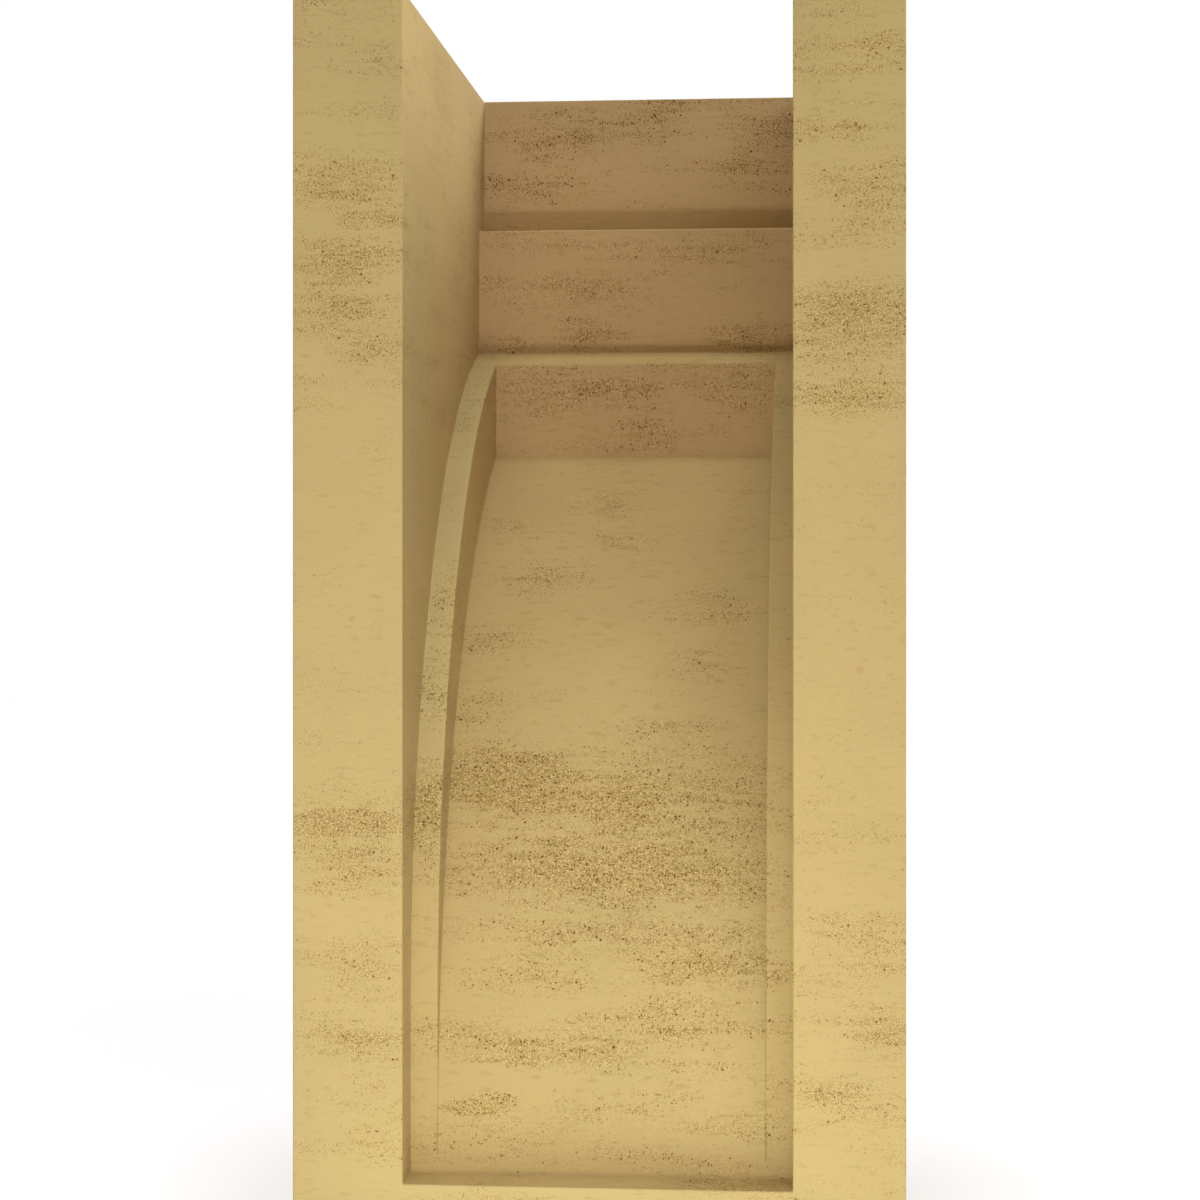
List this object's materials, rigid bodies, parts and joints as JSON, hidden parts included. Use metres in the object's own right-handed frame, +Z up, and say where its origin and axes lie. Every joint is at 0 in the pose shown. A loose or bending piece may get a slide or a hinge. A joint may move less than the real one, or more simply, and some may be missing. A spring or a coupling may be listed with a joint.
{
  "type": "corbel",
  "caption": "Hollow one-piece stone corbel with stepped fascia, cove and raised front panel, open at the back and top so that it slides over a fixing block on the wall.",
  "frame": {"origin": "on the wall face, in the middle of the web that closes the hollow at the bottom", "axes": "+Z up, +Y out of the wall face into the wall, so the front looks along -Y, +X to the right as seen from the front"},
  "size_m": [0.1396, 0.1778, 0.2985],
  "materials": {
    "cast_stone": "matt, travertine look: tan with fine dark pits gathered in level streaks"
  },
  "bodies": {
    "root": {"corbel": "cast_stone"}
  },
  "joints": []
}
